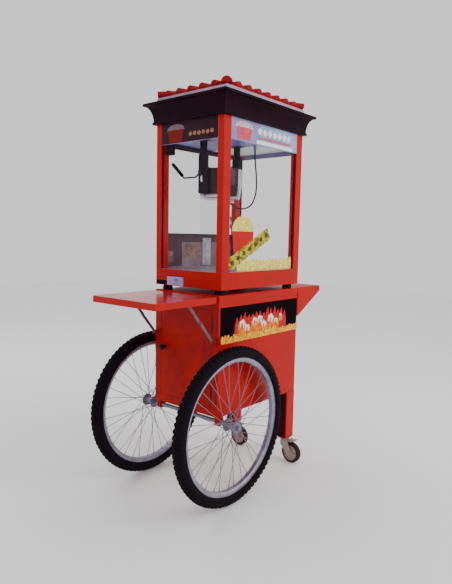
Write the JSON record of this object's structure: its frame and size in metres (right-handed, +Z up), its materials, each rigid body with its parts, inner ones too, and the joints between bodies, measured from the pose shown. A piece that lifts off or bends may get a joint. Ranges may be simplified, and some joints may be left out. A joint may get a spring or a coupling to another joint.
{
  "type": "popcorn cart",
  "caption": "Popcorn cart: glazed popping cabin with a tilting kettle and tiled roof, on a sheet-metal cart with spoked wheels, casters and a folding shelf.",
  "frame": {"origin": "on the floor under the middle of the cart's bounding box", "axes": "+Z up, +X from the folding shelf towards the casters, -Y the customer's side"},
  "size_m": [1.122, 0.58, 1.743],
  "materials": {
    "red_enamel": "gloss",
    "pale_enamel": "satin",
    "steel": "satin",
    "chrome": "polished",
    "tyre": "matte",
    "rubber": "matte",
    "black_plastic": "satin",
    "black_enamel": "satin",
    "kettle_steel": "polished",
    "glass": "clear",
    "clear_acrylic": "clear",
    "sign_panel": "satin",
    "lamp": "gloss",
    "cord_jacket": "matte"
  },
  "bodies": {
    "cart": {"cart_floor": "red_enamel", "side_panels": "red_enamel", "end_panel": "red_enamel", "door_frame": "red_enamel", "cart_top": "red_enamel", "caster_legs": "red_enamel", "end_shelf": "red_enamel", "butt_hinges": "steel", "stay_brackets": "red_enamel", "axle": "steel", "axle_clamps": "red_enamel", "caster_plates": "steel", "machine_base": "red_enamel", "popcorn_deck": "steel", "rubber_feet": "rubber", "corner_posts": "red_enamel", "front_glass": "glass", "side_glass": "glass", "header_signs": "sign_panel", "switch_panel": "steel", "ceiling_plate": "steel", "cornice": "red_enamel", "roof_curb": "pale_enamel", "roof_tiles": "red_enamel", "cabin_lamp": "lamp", "rear_sill": "steel", "kettle_hangers": "black_enamel", "stir_motor": "black_plastic", "kettle_cord": "cord_jacket"},
    "door": {"cabinet_door": "red_enamel", "door_knob": "black_plastic"},
    "shelf": {"drop_shelf": "red_enamel"},
    "stays_low": {"lower_stays": "steel"},
    "stays_high": {"upper_stays": "steel"},
    "wheel_front": {"front_tyre": "tyre", "front_rim": "chrome", "front_spokes": "chrome", "front_hub": "chrome"},
    "wheel_rear": {"rear_tyre": "tyre", "rear_rim": "chrome", "rear_spokes": "chrome", "rear_hub": "chrome"},
    "fork_front": {"front_fork": "steel"},
    "castor_front": {"front_caster_wheel": "rubber"},
    "pedal_front": {"front_brake_pedal": "black_plastic"},
    "fork_rear": {"rear_fork": "steel"},
    "castor_rear": {"rear_caster_wheel": "rubber"},
    "pedal_rear": {"rear_brake_pedal": "black_plastic"},
    "drawer": {"kernel_drawer": "steel"},
    "door_left": {"left_rear_door": "clear_acrylic"},
    "door_right": {"right_rear_door": "clear_acrylic"},
    "kettle": {"kettle_pot": "kettle_steel", "kettle_crossbar": "kettle_steel", "dump_handle": "black_enamel"},
    "lid_front": {"front_lid": "kettle_steel"},
    "lid_rear": {"rear_lid": "kettle_steel"},
    "shaft": {"drive_shaft": "steel"},
    "stirrer": {"agitator": "steel"},
    "rocker_kettle": {"kettle_switch": "black_plastic"},
    "rocker_light": {"light_switch": "black_plastic"}
  },
  "joints": [
    {"name": "front_wheel_spin", "type": "hinge", "parent": "cart", "child": "wheel_front", "pos_m": [-0.193, -0.249, 0.33], "axis": [0, 1, 0], "continuous": true},
    {"name": "rear_wheel_spin", "type": "hinge", "parent": "cart", "child": "wheel_rear", "pos_m": [-0.193, 0.249, 0.33], "axis": [0, 1, 0], "continuous": true},
    {"name": "front_caster_swivel", "type": "hinge", "parent": "cart", "child": "fork_front", "pos_m": [0.323, -0.164, 0.1], "axis": [0, 0, 1], "continuous": true},
    {"name": "front_caster_spin", "type": "hinge", "parent": "fork_front", "child": "castor_front", "pos_m": [0.323, -0.204, 0.05], "axis": [1, 0, 0], "continuous": true},
    {"name": "front_brake_tip", "type": "hinge", "parent": "fork_front", "child": "pedal_front", "pos_m": [0.323, -0.1915, 0.1085], "axis": [1, 0, 0], "range_deg": [0, 12]},
    {"name": "rear_caster_swivel", "type": "hinge", "parent": "cart", "child": "fork_rear", "pos_m": [0.323, 0.164, 0.1], "axis": [0, 0, 1], "continuous": true},
    {"name": "rear_caster_spin", "type": "hinge", "parent": "fork_rear", "child": "castor_rear", "pos_m": [0.323, 0.124, 0.05], "axis": [1, 0, 0], "continuous": true},
    {"name": "rear_brake_tip", "type": "hinge", "parent": "fork_rear", "child": "pedal_rear", "pos_m": [0.323, 0.1365, 0.1085], "axis": [1, 0, 0], "range_deg": [0, 12]},
    {"name": "cabinet_door_swing", "type": "hinge", "parent": "cart", "child": "door", "pos_m": [-0.2236, -0.15125, 0.5955], "axis": [0, 0, 1], "range_deg": [0, 90]},
    {"name": "drop_shelf_fold", "type": "hinge", "parent": "cart", "child": "shelf", "pos_m": [-0.2236, 0, 0.831], "axis": [0, 1, 0], "range_deg": [-90, 0]},
    {"name": "lower_stay_fold", "type": "hinge", "parent": "cart", "child": "stays_low", "pos_m": [-0.2371, 0, 0.671], "axis": [0, 1, 0], "range_deg": [0, 45]},
    {"name": "upper_stay_fold", "type": "hinge", "parent": "shelf", "child": "stays_high", "pos_m": [-0.3836, 0, 0.8445], "axis": [0, 1, 0], "range_deg": [-45, 0]},
    {"name": "kernel_drawer_slide", "type": "slide", "parent": "cart", "child": "drawer", "axis": [-1, 0, 0], "range_m": [0, 0.15]},
    {"name": "left_rear_door_swing", "type": "hinge", "parent": "cart", "child": "door_left", "pos_m": [-0.169, 0.1981, 1.29], "axis": [0, 0, 1], "range_deg": [0, 100]},
    {"name": "right_rear_door_swing", "type": "hinge", "parent": "cart", "child": "door_right", "pos_m": [0.3, 0.1981, 1.29], "axis": [0, 0, -1], "range_deg": [0, 100]},
    {"name": "kettle_tilt", "type": "hinge", "parent": "cart", "child": "kettle", "pos_m": [-0.01, 0, 1.375], "axis": [-1, 0, 0], "range_deg": [0, 100], "deforming": ["kettle_cord"]},
    {"name": "front_lid_lift", "type": "hinge", "parent": "kettle", "child": "lid_front", "pos_m": [-0.01, -0.018, 1.396], "axis": [-1, 0, 0], "range_deg": [0, 55]},
    {"name": "rear_lid_lift", "type": "hinge", "parent": "kettle", "child": "lid_rear", "pos_m": [-0.01, 0.018, 1.396], "axis": [1, 0, 0], "range_deg": [0, 55]},
    {"name": "stirrer_spin", "type": "hinge", "parent": "kettle", "child": "stirrer", "pos_m": [-0.01, 0, 1.32], "axis": [0, 0, 1], "continuous": true},
    {"name": "drive_shaft_spin", "type": "hinge", "parent": "cart", "child": "shaft", "pos_m": [0.04, 0, 1.375], "axis": [1, 0, 0], "continuous": true},
    {"name": "kettle_switch_rock", "type": "hinge", "parent": "cart", "child": "rocker_kettle", "pos_m": [0.0055, 0.189, 1.533], "axis": [1, 0, 0], "range_deg": [-10, 10]},
    {"name": "light_switch_rock", "type": "hinge", "parent": "cart", "child": "rocker_light", "pos_m": [0.1255, 0.189, 1.533], "axis": [1, 0, 0], "range_deg": [-10, 10]}
  ],
  "couplings": [
    {"joint": "lower_stay_fold", "follows": "drop_shelf_fold", "ratio": -0.5},
    {"joint": "upper_stay_fold", "follows": "drop_shelf_fold", "ratio": 0.5},
    {"joint": "drive_shaft_spin", "follows": "stirrer_spin", "ratio": 1}
  ]
}
